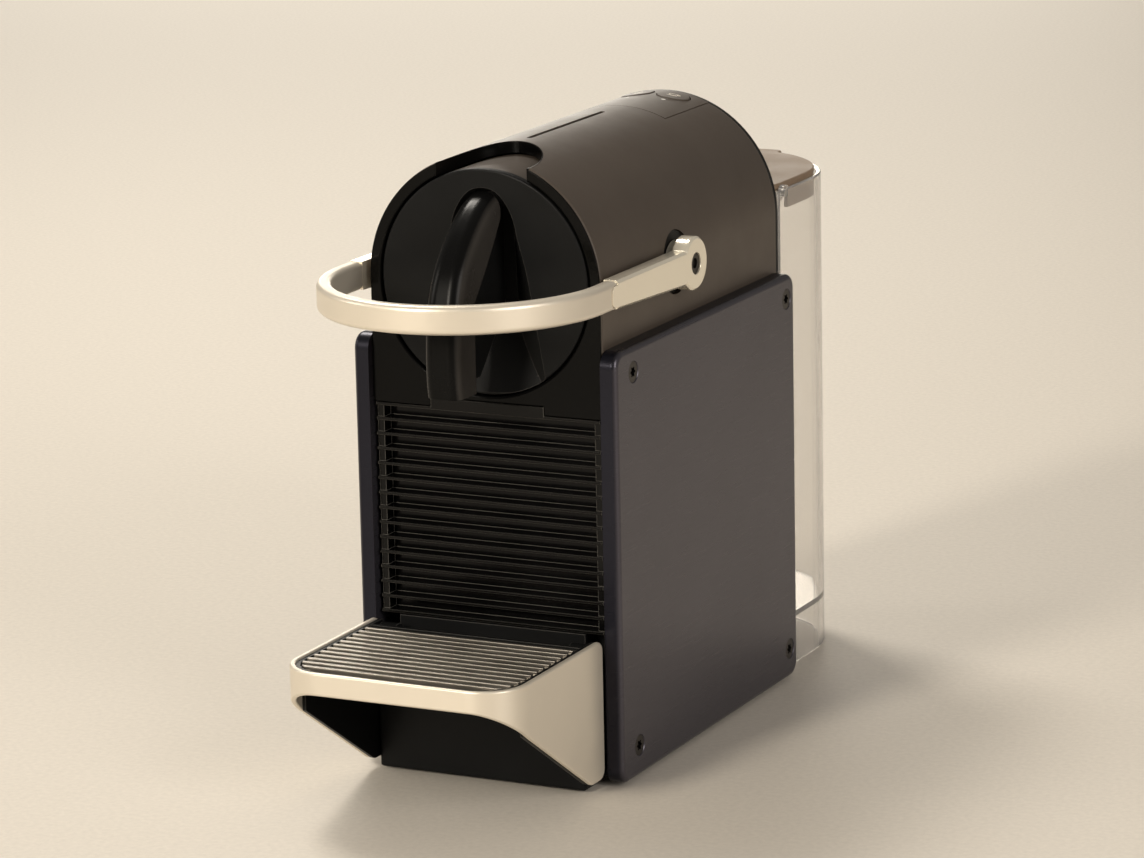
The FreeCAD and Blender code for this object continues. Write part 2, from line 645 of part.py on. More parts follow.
def make_lever_axles():
    crank_x = (33.6, 38.8)
    axle = rod_x(AXLE_R, 36.4, AXLE_END_X, PIVOT_Y, PIVOT_Z)
    spigot = rod_x(SPIGOT_R, AXLE_END_X, SPIGOT_END_X, PIVOT_Y, PIVOT_Z)
    crank = link_x((PIVOT_Y, PIVOT_Z), 9.0, (PIN_Y, PIN_Z), 2 * CRANK_PIN_R, *crank_x)
    pin = rod_x(CRANK_PIN_R, 27.4, crank_x[0] + 0.4, PIN_Y, PIN_Z)
    axle = fuse([axle, spigot, crank, pin])
    return group([on_side(axle, side) for side in SIDES])


def make_hub_plugs():
    face_x = SPIGOT_END_X + 1.5
    socket = rod_x(2.0, face_x - 0.8, face_x + 1, PIVOT_Y, PIVOT_Z)
    plug = rod_x(SPIGOT_R, SPIGOT_END_X, face_x, PIVOT_Y, PIVOT_Z).cut(socket)
    return group([on_side(plug, side) for side in SIDES])


# ---- brew head -----------------------------------------------------------------------------
# Niche around the outlet: half widths of its opening on the disc, from the top down, and of the
# narrow wall at its back.
NICHE_FACE = [(0, 223), (5.4, 221.7), (9.4, 217.8), (12.5, 212), (14.3, 204.8), (17, 195.7),
              (19.2, 185.8), (22.4, 168.2), (25.6, 150), (27, 142)]
NICHE_BACK = [(0, 220), (3.4, 219), (5.8, 216.2), (7.2, 211.4), (7.8, 204.6), (8.2, 195.7),
              (8.6, 185.8), (9.4, 168.2), (10.2, 150), (10.6, 142)]


def niche_wire(points, y, grow):
    """Arch through the half-width points, grown outwards, in the plane at y."""
    right = [V(x + (grow if x else 0), y, z + (grow if z > 205 else 0)) for x, z in points]
    left = [V(-p.x, p.y, p.z) for p in reversed(right[1:])]
    curve = Part.BSplineCurve()
    curve.interpolate(left + right)
    return Part.Wire([curve.toShape(), Part.makeLine(right[-1], left[0])])


def niche(grow, y_front, y_back):
    wires = [niche_wire(NICHE_FACE, y_front, grow), niche_wire(NICHE_BACK, y_back, grow)]
    return Part.makeLoft(wires, True, True)


def make_head_disc():
    disc = rod_y(DISC_R, 0, DISC_THICK)
    rim = edges_where(disc, lambda e: e.BoundBox.YMax < 0.01 and e.Length > 100)
    disc = disc.makeFillet(0.8, rim)
    pocket = niche(NICHE_WALL, 0.5, NICHE_DEPTH + NICHE_WALL)
    pocket = pocket.common(rod_y(DISC_R - HEAD_WALL - GAP, 0, 30))
    body = fuse([disc, pocket])
    room = prism_x([(-2, 240), (NICHE_DEPTH + 1, 240), (NICHE_DEPTH + 1, NICHE_RAMP_Z[1]),
                    (0, NICHE_RAMP_Z[0]), (-2, NICHE_RAMP_Z[0])], -DISC_R, DISC_R)
    return body.cut(niche(0.0, -0.6, NICHE_DEPTH).common(room))


def make_head_shell():
    shell = ring_y(DISC_R, DISC_R - HEAD_WALL, DISC_THICK, HEAD_LENGTH)
    chute = box(-27.5, 27.5, DISC_THICK - 1, HEAD_LENGTH + 1, 130, AXIS_Z - 20)
    return shell.cut(chute)


NOSE_FRONT = [(0.5, 221.4), (-8.4, 217.6), (-16.8, 211.6), (-24.8, 204.0), (-30.8, 195.6),
              (-34.6, 186), (-36.6, 175), (-37.1, 165), (-36.7, 156)]
NOSE_REAR = [(-22.2, NOSE_FOOT_Z), (-22.2, 184), (-12, 195.5), (-5.6, 203.5), (0.5, 212)]


def nose_profile(x):
    """Side view of the outlet cover in the plane at x."""
    front = [V(x, y, z) for y, z in NOSE_FRONT]
    foot_front = V(x, NOSE_FRONT[-1][0] + 0.8, NOSE_FOOT_Z)
    rear = [V(x, y, z) for y, z in NOSE_REAR]
    curve = Part.BSplineCurve()
    curve.interpolate(front + [foot_front])
    edges = [curve.toShape()]
    corners = [foot_front] + rear + [front[0]]
    for a, b in zip(corners, corners[1:]):
        edges.append(Part.makeLine(a, b))
    return Part.Wire(edges)


def make_outlet_cover():
    """Hollow cover over the spout, open at its foot and towards the disc; rounder at the top."""
    solid = Part.Face(nose_profile(-NOSE_HALF)).extrude(V(2 * NOSE_HALF, 0, 0))
    front_edges = edges_where(solid, lambda e: e.BoundBox.ZLength > 60 and e.BoundBox.YLength > 30)
    solid = solid.makeFillet(NOSE_ROUND_TOP, NOSE_ROUND_FOOT, front_edges)
    half = NOSE_HALF - NOSE_WALL
    mouth = prism_x([(-34.4, 140), (-34.4, 168), (-31.4, 181), (5, 181), (5, 140)], -half, half)
    half = SPOUT_HALF + 0.3
    throat = prism_x([(-31, 180), (-28, 191), (-22, 200), (-8, 209), (5, 212), (5, 180)], -half, half)
    return cut(solid, [mouth, throat])


def make_coffee_spout():
    core = prism_x([(-29, NOSE_FOOT_Z + 4), (-27, 186), (-18, 198), (NICHE_DEPTH, 215.4),
                    (NICHE_DEPTH, NICHE_RAMP_Z[1] + 5), (-12, NOSE_FOOT_Z + 4)], -SPOUT_HALF, SPOUT_HALF)
    nozzle_mouth = box(-2.0, 2.0, -26, -14, NOSE_FOOT_Z, 160)
    return core.cut(round_along(nozzle_mouth, ALONG_Z, 1.6))


def make_outlet_block():
    back = NICHE_DEPTH + NICHE_WALL
    block = rod_y(11, back, 29)
    web = box(-11, 11, back, 22, 172, AXIS_Z)
    passage = rod_y(2, back - 1, 27)
    return fuse([block, web]).cut(passage)


def make_pierce_plate():
    plate = rod_y(18.0, 29, 31)
    studs = []
    for i in range(-2, 3):
        for j in range(-2, 3):
            x, z = 5.6 * i, AXIS_Z + 5.6 * j
            if math.hypot(x, z - AXIS_Z) < 14:
                studs.append(box(x - 1.5, x + 1.5, 31, 31.8, z - 1.5, z + 1.5))
    return fuse([plate] + studs)


def make_drawbars():
    step_y = RAIL_Y[1] + HEAD_TRAVEL + 0.8
    foot_z = PIVOT_Z - CRANK_R - CRANK_PIN_R - 4
    bar = prism_x([(DISC_THICK, DRAWBAR_Z[0]), (step_y, DRAWBAR_Z[0]), (step_y + 1, foot_z),
                   (DRAWBAR_REAR, foot_z), (DRAWBAR_REAR, DRAWBAR_Z[1]),
                   (DISC_THICK, DRAWBAR_Z[1])], *DRAWBAR_X)
    bar = round_along(bar, ALONG_X, 3, lambda e: e.BoundBox.YMin > DRAWBAR_REAR - 1)
    slack = 0.9
    half = CRANK_PIN_R + slack
    slot = box(20, 40, PIN_Y - half, PIN_Y + half, PIVOT_Z - CRANK_R - half, PIN_Z + half)
    bar = bar.cut(round_along(slot, ALONG_X, half - 0.05))
    return group([on_side(bar, side) for side in SIDES])


# ---- brewing unit --------------------------------------------------------------------------
def make_capsule_cage():
    outer = rod_y(21.0, 34.6, 58)
    hollow = Part.makeCone(15.6, 12.0, 21, V(0, 34, AXIS_Z), ALONG_Y)
    cheeks = [box(side * 24 - 2, side * 24 + 2, 40, 58, SHELF_Z[1], AXIS_Z) for side in SIDES]
    bridge = box(-26, 26, 40, 58, SHELF_Z[1], SHELF_Z[1] + 4)
    web = box(-24, 24, 44, 56, 164, AXIS_Z)
    inlet = rod_y(2, 50, 60)
    return cut(fuse([outer, bridge, web] + cheeks), [hollow, inlet])


def make_cage_seal():
    return ring_y(19.6, 16.4, 33.6, 34.6)


def make_needles():
    needles = []
    for i in range(3):
        angle = math.radians(90 + 120 * i)
        x, z = 6.5 * math.cos(angle), AXIS_Z + 6.5 * math.sin(angle)
        needles.append(Part.makeCone(0.3, 1.6, 5, V(x, 50, z), ALONG_Y))
    return group(needles)


def make_capsule_chute():
    walls = []
    for side in SIDES:
        guide = box(19.2, 20.8, 16.4, 34.2, 160, 220)
        rail = box(17.4, 19.4, 31.6, 34.2, 172, 220)
        guide = fuse([guide, rail]).cut(rod_y(21.2, 0, 60).common(box(0, 60, 33.4, 60, 0, 300)))
        walls.append(on_side(guide, side))
    return group(walls)


def make_thermoblock():
    block = box(-24, 24, 94, 148, SHELF_Z[1] + 5, 196)
    block = round_along(block, ALONG_Y, 5)
    grooves = [box(side * 24 - 4, side * 24 + 4, 90, 150, z, z + 4)
               for side in SIDES for z in (163, 172, 181)]
    feet = [rod_z(3.5, SHELF_Z[1], SHELF_Z[1] + 6, side * 16, y) for side in SIDES for y in (100, 142)]
    heater = [rod_y(3.2, 90, 152, side * 12, 190) for side in SIDES]
    return fuse([cut(block, grooves)] + feet + heater)


def make_pump_coil():
    case = box(-19, 19, PUMP_Y - 16, PUMP_Y + 16, 52, 94)
    winding = rod_z(15.5, 54, 92, 0, PUMP_Y)
    window = box(-14, 14, PUMP_Y - 20, PUMP_Y + 20, 56, 90)
    bore = rod_z(PUMP_TUBE_R, 50, 96, 0, PUMP_Y)
    return fuse([case.cut(window), winding]).cut(bore)


def make_pump_body():
    barrel = rod_z(PUMP_TUBE_R, 34, 112, 0, PUMP_Y)
    outlet = rod_z(5.0, 112, 120, 0, PUMP_Y)
    inlet = rod_z(4.0, 28, 34, 0, PUMP_Y)
    chamber = rod_z(PISTON_R + FIT, 44, 104, 0, PUMP_Y)
    passage = rod_z(1.5, 20, 130, 0, PUMP_Y)
    return cut(fuse([barrel, outlet, inlet]), [chamber, passage])


def make_pump_piston():
    piston = rod_z(PISTON_R, 58, 92, 0, PUMP_Y)
    return piston.cut(rod_z(1.5, 50, 100, 0, PUMP_Y))


def make_pump_mounts():
    return group([ring_z(13, PUMP_TUBE_R, z, z + 7, 0, PUMP_Y) for z in (38, 101)])


def make_pump_bracket():
    spine = box(-20, 20, BULKHEAD_Y[1], BULKHEAD_Y[1] + 1.5, 36, 110)
    arms = []
    for z in (40.5, 103.5):
        arm = box(-20, 20, BULKHEAD_Y[1], PUMP_Y + 18, z, z + 2).cut(rod_z(13, 0, 150, 0, PUMP_Y))
        arms.append(arm)
    return fuse([spine] + arms)


def make_flow_meter():
    body = rod_z(11, 16, 30, FLOW_X, PUMP_Y)
    lid = rod_z(9, 30, 32, FLOW_X, PUMP_Y)
    ports = [rod_z(2.6, 32, 38, FLOW_X, PUMP_Y), rod_x(2.6, FLOW_X - 16, FLOW_X - 9, PUMP_Y, 20)]
    return fuse([body, lid] + ports)


def make_suction_tubes():
    """Soft tubes: tank dock to flow meter, and flow meter to pump."""
    from_dock = tube([(0, 163, 12), (0, 154.5, 12), (FLOW_X, 154.5, 12), (FLOW_X, 154.5, 46),
                      (FLOW_X, PUMP_Y, 46), (FLOW_X, PUMP_Y, 38)], *SOFT_TUBE_R, 3.2)
    to_pump = tube([(FLOW_X - 16, PUMP_Y, 20), (0, PUMP_Y, 20), (0, PUMP_Y, 28)], *SOFT_TUBE_R, 3.6)
    return group([from_dock, to_pump])


def make_pressure_tubes():
    """Stiff tubes: pump to thermoblock, and thermoblock to capsule cage."""
    to_heater = tube([(0, PUMP_Y, 120), (0, PUMP_Y, 152.2), (0, 154, 152.2), (0, 154, 176),
                      (0, 148, 176)], *STIFF_TUBE_R, 2.3)
    to_cage = tube([(0, 94, 176), (0, 84, 176), (0, 84, AXIS_Z), (0, 58, AXIS_Z)], *STIFF_TUBE_R, 4.0)
    return group([to_heater, to_cage])


def make_cord_gland():
    flange = rod_y(6.0, TANK_FRONT - GAP, TANK_FRONT + 1.6, GLAND_X, GLAND_Z)
    collar = rod_y(4.8, 154, TANK_FRONT, GLAND_X, GLAND_Z)
    nut = ring_y(6.4, 4.8, 155, BODY_REAR, GLAND_X, GLAND_Z)
    return fuse([flange, collar, nut]).cut(rod_y(3.4, 150, 180, GLAND_X, GLAND_Z))


# ---- tank dock -----------------------------------------------------------------------------
def make_tank_dock():
    foot = d_plan(27, TANK_FRONT - GAP, 197, FOOT_H, 8)
    tower = rod_z(12, 8, TANK_FLOOR_Z - 0.3, 0, TANK_VALVE_Y)
    rests = [box(side * 20 - 4, side * 20 + 4, 168, 206, 8, TANK_FLOOR_Z - 0.3) for side in SIDES]
    socket = rod_z(7.2, 11, 30, 0, TANK_VALVE_Y)
    channel = rod_y(2.4, 150, TANK_VALVE_Y, 0, 12)
    spine = box(-5, 5, TANK_FRONT - GAP, TANK_VALVE_Y - 8, 8, 17)
    return cut(fuse([foot, tower, spine] + rests), [socket, channel])


def make_dock_seal():
    return ring_z(7.2, 6.1, 15, 18, 0, TANK_VALVE_Y)


# ---- water tank ----------------------------------------------------------------------------
TANK_ROUND_Y = REAR_Y - SUPPORT_HALF


def make_water_tank():
    outer = d_plan(SUPPORT_HALF, TANK_FRONT, TANK_ROUND_Y, TANK_FOOT_Z, TANK_RIM_Z)
    outer = round_along(outer, ALONG_Z, 2.0, lambda e: e.BoundBox.YMax < TANK_FRONT + 1)
    outer = soften(outer, 0.7, lambda e: in_plane_z(e, TANK_FOOT_Z))
    inner_half = SUPPORT_HALF - TANK_WALL
    room = d_plan(inner_half, TANK_FRONT + TANK_WALL, TANK_ROUND_Y, TANK_FLOOR_Z + 2.2, TANK_RIM_Z + 1)
    room = round_along(room, ALONG_Z, 1.4, lambda e: e.BoundBox.YMax < TANK_FRONT + 4)
    under = d_plan(inner_half, TANK_FRONT - 2, TANK_ROUND_Y, 0, TANK_FLOOR_Z)
    tab_gap = box(-15.6, 15.6, 230, 250, LID_TOP_Z - 5.0, TANK_RIM_Z + 1)
    cord_way = box(-60, -inner_half + 1, 150, 176, 0, 17)
    valve_hole = rod_z(6.0, 10, 30, 0, TANK_VALVE_Y)
    pin_holes = [rod_x(LID_PIN_R, side * 46 - 4, side * 46 + 4, LID_HINGE_Y, LID_HINGE_Z)
                 for side in SIDES]
    tank = cut(outer, [room, under, tab_gap, cord_way, valve_hole])
    tank = soften(tank, 0.9, lambda e: in_plane_z(e, TANK_RIM_Z))
    ears = [on_side(rod_x(HINGE_EAR_R, inner_half - 0.1, SUPPORT_HALF - 0.4, LID_HINGE_Y, LID_HINGE_Z), side)
            for side in SIDES]
    return cut(fuse([tank] + ears), pin_holes)


def make_tank_valve():
    sleeve = rod_z(6.0, 12.6, 26, 0, TANK_VALVE_Y)
    flange = ring_z(9.5, 6.0, TANK_FLOOR_Z + 2.2, 24.6, 0, TANK_VALVE_Y)
    openings = [box(-10, 10, TANK_VALVE_Y - 1.2, TANK_VALVE_Y + 1.2, 24.8, 30)]
    bore = rod_z(4.0, 12, 24.4, 0, TANK_VALVE_Y)
    poppet = rod_z(3.0, 14, 21, 0, TANK_VALVE_Y)
    sleeve = cut(fuse([sleeve, flange]), [bore] + openings)
    return group([sleeve, poppet])


def make_lid_pins():
    pin = rod_x(LID_PIN_R, 32.4, SUPPORT_HALF - 0.2, LID_HINGE_Y, LID_HINGE_Z)
    return group([on_side(pin, side) for side in SIDES])


def make_tank_lid():
    half = SUPPORT_HALF - TANK_WALL - 0.6
    front = TANK_FRONT + TANK_WALL + 2.1
    plate = d_plan(half, front, TANK_ROUND_Y, LID_TOP_Z - 2, LID_TOP_Z)
    plate = round_along(plate, ALONG_Z, 3.0, lambda e: e.BoundBox.YMax < front + 1)
    skirt = d_plan(half - 0.2, 176, TANK_ROUND_Y, LID_TOP_Z - 10.4, LID_TOP_Z - 1)
    skirt = skirt.cut(d_plan(half - 1.8, 174, TANK_ROUND_Y, LID_TOP_Z - 11, LID_TOP_Z))
    tab = round_along(box(-15, 15, 234, REAR_Y, LID_TOP_Z - 2, LID_TOP_Z), ALONG_Z, 3.0,
                      lambda e: e.BoundBox.YMin > 240)
    knuckles = []
    for side in SIDES:
        knuckle = rod_x(3.2, *KNUCKLE_X, LID_HINGE_Y, LID_HINGE_Z)
        web = box(*KNUCKLE_X, LID_HINGE_Y - 1.6, LID_HINGE_Y + 1.6, LID_HINGE_Z, LID_TOP_Z - 1)
        knuckles.append(on_side(fuse([knuckle, web]), side))
    bores = [on_side(rod_x(LID_PIN_R + FIT, 32.2, 44, LID_HINGE_Y, LID_HINGE_Z), side) for side in SIDES]
    lid = cut(fuse([plate, skirt, tab] + knuckles), bores)
    return soften(lid, 0.8, lambda e: in_plane_z(e, LID_TOP_Z))


# ---- maintenance drawer --------------------------------------------------------------------
def make_drip_base():
    front = box(-BLOCK_HALF, BLOCK_HALF, BLOCK_FRONT, -0.8, BLOCK_FOOT_Z, 45.5)
    front = soften(front, 1.2, lambda e: e.BoundBox.YMin < BLOCK_FRONT + 0.1)
    tray = box(-38.6, 38.6, -0.8, 108, FLOOR_TOP_Z + GAP, BASE_RIM_Z)
    room = box(-36.4, 36.4, 2.2, 105.6, FLOOR_TOP_Z + GAP + 2.2, BASE_RIM_Z + 1)
    lugs = []
    for side in SIDES:
        lug = fuse([box(36, BLOCK_HALF, HINGE_Y - HINGE_LUG_R, HINGE_Y + HINGE_LUG_R, 44, HINGE_Z),
                    rod_x(HINGE_LUG_R, 36, BLOCK_HALF, HINGE_Y, HINGE_Z)])
        arm = box(36, 38.6, HINGE_Y, 1, 40, HINGE_Z)
        lug = fuse([lug, arm]).cut(rod_x(SUPPORT_PIN_R, 30, 50, HINGE_Y, HINGE_Z))
        lugs.append(on_side(lug, side))
    return fuse([front, tray] + lugs).cut(room)


def make_support_pins():
    pin = rod_x(SUPPORT_PIN_R, 37.2, SUPPORT_HALF - SUPPORT_WALL - 0.1, HINGE_Y, HINGE_Z)
    return group([on_side(pin, side) for side in SIDES])


def make_capsule_bin():
    outer = box(-BIN_HALF, BIN_HALF, 7.2, 106, BIN_FOOT_Z, BIN_TOP_Z - 2)
    outer = round_along(outer, ALONG_Z, 4, lambda e: e.BoundBox.YMin > 50)
    room = box(-BIN_HALF + 2, BIN_HALF - 2, 9.2, 104, BIN_FOOT_Z + 2, BIN_TOP_Z + 1)
    room = round_along(room, ALONG_Z, 3)
    drains = []
    for i in range(-2, 3):
        for j in range(5):
            drains.append(rod_z(2.2, 50, 65, 13 * i, 22 + 17 * j))
    return cut(outer, [room] + drains)


def make_bin_front():
    plate = box(-BIN_FRONT_HALF, BIN_FRONT_HALF, 0.6, 7.2, BIN_FOOT_Z, BIN_TOP_Z)
    rib_count = int((BIN_TOP_Z - BIN_FOOT_Z) / RIB_PITCH) + 1
    pieces = [plate]
    grooves = []
    for i in range(rib_count):
        top = BIN_TOP_Z - RIB_PITCH * i
        pieces.append(box(-BIN_FRONT_HALF, BIN_FRONT_HALF, -0.5, 1, top - RIB_THICK, top))
        foot = max(top - RIB_PITCH, BIN_FOOT_Z)
        if top - RIB_THICK - foot > 1:
            grooves.append(box(-43.6, 43.6, 0, 5.8, foot, top - RIB_THICK))
    tab = box(-TAB_HALF, TAB_HALF, -0.5, 5, BIN_TOP_Z - 1, TAB_TOP_Z)
    front = cut(fuse(pieces + [tab]), grooves)
    return soften(front, 0.35, lambda e: in_plane_y(e, -0.5) and is_along(e, ALONG_X))


# ---- cup support ---------------------------------------------------------------------------
def support_plan(half, front, corner, z0, z1):
    """Block that runs back from a front face with two rounded corners."""
    block = box(-half, half, front, 10, z0, z1)
    return round_along(block, ALONG_Z, corner, lambda e: e.BoundBox.YMax < front + 1)


def cheek_profile():
    """Side view of the cup support: a shallow band at the front and cheeks down to the table."""
    corners = [(FRONT_Y - 5, SUPPORT_TOP_Z), (SUPPORT_REAR, SUPPORT_TOP_Z),
               (SUPPORT_REAR, SUPPORT_FOOT_Z), (CHEEK_TOE_Y, SUPPORT_FOOT_Z), CHEEK_BEND,
               (FRONT_Y, BAND_FOOT_Z), (FRONT_Y - 5, BAND_FOOT_Z)]
    prism = prism_x(corners, -FAR_X, FAR_X)
    roundings = [(SUPPORT_REAR, 4.0), (CHEEK_TOE_Y, 5.0), (FRONT_Y, 6.0)]
    for y, radius in roundings:
        prism = round_along(prism, ALONG_X, radius, lambda e: abs(e.CenterOfMass.y - y) < 0.01)
    return prism


def make_cup_support():
    inner_half = SUPPORT_HALF - SUPPORT_WALL
    outer = support_plan(SUPPORT_HALF, FRONT_Y, SUPPORT_CORNER, 0, 70)
    inner = support_plan(inner_half, FRONT_Y + SUPPORT_WALL, SUPPORT_CORNER - SUPPORT_WALL, -1, 71)
    inner = fuse([inner, box(-inner_half, inner_half, -1, 20, -1, 71)])
    return soften(outer.cut(inner).common(cheek_profile()), 0.8, lambda e: True)


TRAY_WALL = 1.6
TRAY_REAR = -13.4
TRAY_TOP_Z = SUPPORT_TOP_Z - 0.6
LINING_WALL = 1.4
LINING_FRONT = -66.0


def make_drip_tray():
    half = SUPPORT_HALF - SUPPORT_WALL - 0.1
    front = FRONT_Y + SUPPORT_WALL + 0.1
    corner = SUPPORT_CORNER - SUPPORT_WALL - 0.1
    ahead_of_rear = box(-FAR_X, FAR_X, -100, TRAY_REAR, 0, 100)
    blank = support_plan(half, front, corner, BAND_FOOT_Z + 0.5, TRAY_TOP_Z).common(ahead_of_rear)
    sump = support_plan(half, front, corner, SUMP_FOOT_Z, BAND_FOOT_Z + 1)
    sump = sump.common(box(-FAR_X, FAR_X, SUMP_FRONT, TRAY_REAR, 0, 100))
    blank = fuse([blank, sump])
    room = support_plan(half - TRAY_WALL, front + TRAY_WALL, corner - TRAY_WALL, BAND_FOOT_Z + 2.2, 70)
    room = room.common(box(-FAR_X, FAR_X, -100, TRAY_REAR - TRAY_WALL, 0, 100))
    sump_room = box(-half + TRAY_WALL, half - TRAY_WALL, SUMP_FRONT + TRAY_WALL, TRAY_REAR - TRAY_WALL,
                    SUMP_FOOT_Z + 1.9, BAND_FOOT_Z + 3)
    lining = support_plan(half, front, corner, 0, BAND_FOOT_Z + 1)
    lining = lining.cut(box(-half + LINING_WALL, half - LINING_WALL, -100, 20, -1, 70))
    lining_rear = SUPPORT_REAR - 0.6
    strips = [on_side(box(half - LINING_WALL, half, TRAY_REAR - 2, lining_rear, 40, TRAY_TOP_Z), side)
              for side in SIDES]
    lining = fuse([lining] + strips).common(cheek_profile())
    lining = lining.common(box(-FAR_X, FAR_X, LINING_FRONT, lining_rear, 0, TRAY_TOP_Z))
    tray = fuse([cut(blank, [room, sump_room]), lining])
    return tray.cut(rod_x(SUPPORT_PIN_R + FIT, -FAR_X, FAR_X, HINGE_Y, HINGE_Z))


GRID_TOP_Z = SUPPORT_TOP_Z - 0.2
GRID_FOOT_Z = 53.0
GRID_RIM = 1.6
SLAT_COUNT = 12
SLAT_FIRST_Y = -74.9
SLAT_PITCH = 4.93
SLAT_THICK = 1.7


def make_drip_grid():
    half = SUPPORT_HALF - SUPPORT_WALL - 2.2
    front = FRONT_Y + SUPPORT_WALL + 2.2
    corner = SUPPORT_CORNER - SUPPORT_WALL - 2.2
    rear = TRAY_REAR - 2.2
    plan = support_plan(half, front, corner, GRID_FOOT_Z, GRID_TOP_Z)
    plan = plan.common(box(-FAR_X, FAR_X, -100, rear, 0, 100))
    inner = support_plan(half - GRID_RIM, front + GRID_RIM, corner - GRID_RIM, 40, 70)
    inner = inner.common(box(-FAR_X, FAR_X, -100, rear - GRID_RIM, 0, 100))
    rim = plan.cut(inner).common(box(-FAR_X, FAR_X, -100, 0, GRID_FOOT_Z, GRID_TOP_Z - 1.2))
    slats = []
    for i in range(SLAT_COUNT):
        y = SLAT_FIRST_Y + SLAT_PITCH * i
        slats.append(box(-half, half, y, y + SLAT_THICK, GRID_FOOT_Z + 1, GRID_TOP_Z))
    runners = [box(x - 1, x + 1, front + 0.6, rear - 0.4, GRID_FOOT_Z, GRID_FOOT_Z + 1.6)
               for x in (-22, 0, 22)]
    grid = fuse([rim] + [piece.common(plan) for piece in slats + runners])
    return soften(grid, 0.3, lambda e: in_plane_z(e, GRID_TOP_Z) and is_along(e, ALONG_X))


NODES = {
    "hood": make_hood,
    "front_frame": make_front_frame,
    "capsule_slot_liner": make_slot_liner,
    "control_plate": make_control_plate,
    "light_guides": make_light_guides,
    "control_board": make_control_board,
    "button_switches": make_button_switches,
    "rear_cover": make_rear_cover,
    "base_plate": make_base_plate,
    "base_screws": make_base_screws,
    "lever_bushes": make_lever_bushes,
    "side_frames": make_side_frames,
    "inner_frame": make_inner_frame,
    "guide_rails": make_guide_rails,
    "panel_screws": make_panel_screws,
    "rubber_feet": make_rubber_feet,
    "lever_bow": make_lever_bow,
    "lever_axles": make_lever_axles,
    "hub_plugs": make_hub_plugs,
    "drawbars": make_drawbars,
    "head_disc": make_head_disc,
    "head_shell": make_head_shell,
    "outlet_cover": make_outlet_cover,
    "coffee_spout": make_coffee_spout,
    "outlet_block": make_outlet_block,
    "pierce_plate": make_pierce_plate,
    "capsule_cage": make_capsule_cage,
    "cage_seal": make_cage_seal,
    "piercing_needles": make_needles,
    "capsule_chute": make_capsule_chute,
    "thermoblock": make_thermoblock,
    "pump_coil": make_pump_coil,
    "pump_body": make_pump_body,
    "pump_piston": make_pump_piston,
    "pump_mounts": make_pump_mounts,
    "pump_bracket": make_pump_bracket,
    "flow_meter": make_flow_meter,
    "suction_tubes": make_suction_tubes,
    "pressure_tubes": make_pressure_tubes,
    "cord_gland": make_cord_gland,
    "tank_dock": make_tank_dock,
    "dock_seal": make_dock_seal,
    "water_tank": make_water_tank,
    "tank_valve": make_tank_valve,
    "lid_hinge_pins": make_lid_pins,
    "tank_lid": make_tank_lid,
    "drip_base": make_drip_base,
    "support_hinge_pins": make_support_pins,
    "capsule_bin": make_capsule_bin,
    "capsule_bin_front": make_bin_front,
    "cup_support": make_cup_support,
    "drip_tray": make_drip_tray,
    "drip_grid": make_drip_grid,
}
PAIRS = {
    "button": make_button,
    "side_panel": make_side_panel,
    "lever_arm": make_lever_arm,
}


def export(name, shape):
    shape.translate(V(0, -CENTRE_Y, 0))
    shape.exportStep("parts/" + name + ".step")
    b = shape.BoundBox
    print(f"{name:20s} solids {len(shape.Solids)} valid {shape.isValid()} volume {shape.Volume:9.0f}"
          f"  x {b.XMin:7.2f} {b.XMax:7.2f}  y {b.YMin:8.2f} {b.YMax:8.2f}  z {b.ZMin:7.2f} {b.ZMax:7.2f}")


for node, make in NODES.items():
    export(node, make())
for node, make in PAIRS.items():
    export(node + "_left", make(-1))
    export(node + "_right", make(1))
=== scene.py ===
import json
import math
import bpy
import bmesh
from mathutils import Matrix, Vector


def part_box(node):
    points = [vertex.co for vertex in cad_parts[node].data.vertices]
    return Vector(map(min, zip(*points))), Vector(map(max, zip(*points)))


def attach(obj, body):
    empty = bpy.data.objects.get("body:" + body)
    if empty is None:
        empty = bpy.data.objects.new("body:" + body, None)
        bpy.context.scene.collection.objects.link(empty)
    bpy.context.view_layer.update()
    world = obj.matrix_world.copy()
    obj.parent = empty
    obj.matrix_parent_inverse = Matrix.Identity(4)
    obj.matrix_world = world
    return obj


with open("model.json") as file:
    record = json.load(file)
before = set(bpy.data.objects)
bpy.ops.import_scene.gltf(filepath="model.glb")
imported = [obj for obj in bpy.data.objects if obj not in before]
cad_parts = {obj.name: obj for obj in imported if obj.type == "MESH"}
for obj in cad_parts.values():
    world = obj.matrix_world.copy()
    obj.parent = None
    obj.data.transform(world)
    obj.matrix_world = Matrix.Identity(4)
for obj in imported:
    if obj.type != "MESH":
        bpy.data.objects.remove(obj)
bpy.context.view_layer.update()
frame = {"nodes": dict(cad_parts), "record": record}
nodes = frame["nodes"]
scene = bpy.context.scene
MM = 0.001


# ---- camera, floor, light --------------------------------------------------------------------
CAMERA_PLACE = (0.7620, -1.5690, 0.5200)
CAMERA_YAW, CAMERA_PITCH, CAMERA_ROLL = 26.04, 13.07, -1.18     # degrees
IMAGE_WIDTH = 1144
FOCAL_LENGTH = 4648                 # in the unit of IMAGE_WIDTH
SENSOR_WIDTH = 36
FLOOR_HALF = 6.0


